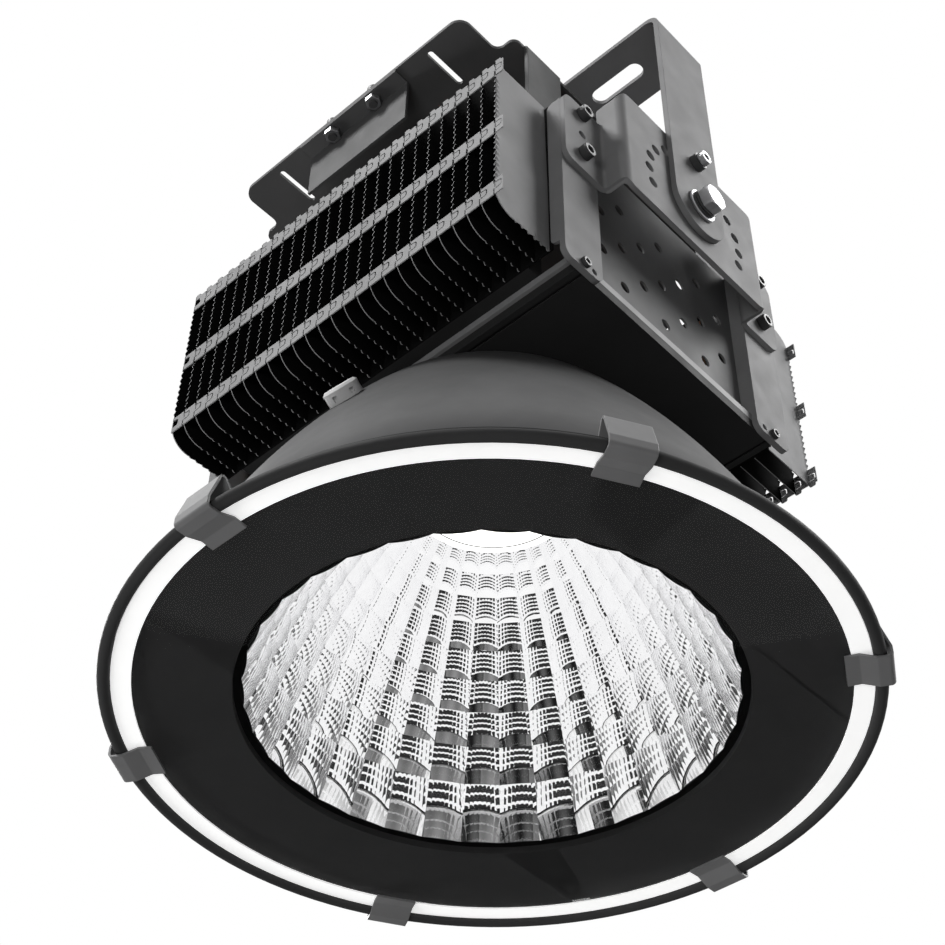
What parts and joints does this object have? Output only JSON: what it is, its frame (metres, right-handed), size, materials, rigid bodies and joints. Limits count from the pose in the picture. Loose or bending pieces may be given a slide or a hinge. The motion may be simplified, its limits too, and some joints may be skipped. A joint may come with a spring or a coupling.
{
  "type": "led flood light",
  "caption": "Round-mouthed LED flood light with a faceted reflector, twin zipper-fin heat sinks, a slotted driver tray and a U-shaped yoke that tilts and locks.",
  "frame": {"origin": "on the optical axis at the lowest point of the rim clips, which is the centre of the bounding box's bottom", "axes": "+Z from the glass towards the yoke's top, Y along the tilting axis, X from the left fin stack to the right one"},
  "size_m": [0.4436, 0.4376, 0.5205],
  "materials": {
    "glass": "clear",
    "silicone": "matt white",
    "mask_black": "matt",
    "reflector_bright": "bright",
    "hood_black": "satin",
    "clip_steel": "satin",
    "vent_grey": "matt",
    "board": "satin",
    "emitter": "matt",
    "holder_white": "matt",
    "screw_steel": "zinc",
    "screw_black": "satin",
    "plate_black": "anodised",
    "plate_edge": "anodised",
    "spreader": "anodised",
    "pipe": "copper",
    "fins": "anodised",
    "side_black": "satin",
    "yoke_black": "satin",
    "zinc": "bright zinc",
    "tray_black": "satin"
  },
  "bodies": {
    "lamp": {"base_plate": "plate_edge", "bridge_front": "side_black", "bridge_rear": "side_black", "channel_front_left": "side_black", "channel_front_right": "side_black", "channel_rear_left": "side_black", "channel_rear_right": "side_black", "channel_screws_front": "screw_black", "channel_screws_rear": "screw_black", "driver_tray": "tray_black", "ear_screws_front": "screw_black", "ear_screws_rear": "screw_black", "fin_stack_left": "fins", "fin_stack_right": "fins", "front_glass": "glass", "grille_front": "side_black", "grille_rear": "side_black", "hanger_bolts": "screw_black", "hanger_bracket_left": "tray_black", "hanger_bracket_right": "tray_black", "hanger_nuts": "zinc", "heat_pipe_1": "pipe", "heat_pipe_2": "pipe", "heat_pipe_3": "pipe", "heat_pipe_4": "pipe", "heat_pipe_5": "pipe", "heat_pipe_6": "pipe", "heat_pipe_7": "pipe", "heat_pipe_8": "pipe", "hood": "hood_black", "hood_screws": "screw_steel", "led_board": "board", "led_emitter": "emitter", "led_holder": "holder_white", "led_plate": "plate_black", "mask_ring": "mask_black", "pivot_bolts": "zinc", "pivot_nuts": "zinc", "pivot_spring_washers": "screw_black", "pivot_washers": "zinc", "reflector": "reflector_bright", "rim_clip_1": "clip_steel", "rim_clip_2": "clip_steel", "rim_clip_3": "clip_steel", "rim_clip_4": "clip_steel", "rim_clip_5": "clip_steel", "rim_clip_6": "clip_steel", "seal_ring": "silicone", "spreader_left": "spreader", "spreader_right": "spreader", "tray_screws": "screw_black", "vent_plug": "vent_grey"},
    "yoke_body": {"yoke": "yoke_black", "lock_screws": "zinc", "lock_spacers": "screw_black"}
  },
  "joints": [
    {"name": "yoke_tilt", "type": "hinge", "parent": "lamp", "child": "yoke_body", "pos_m": [0, 0, 0.3165], "axis": [0, 1, 0], "range_deg": [-108, 108]}
  ]
}
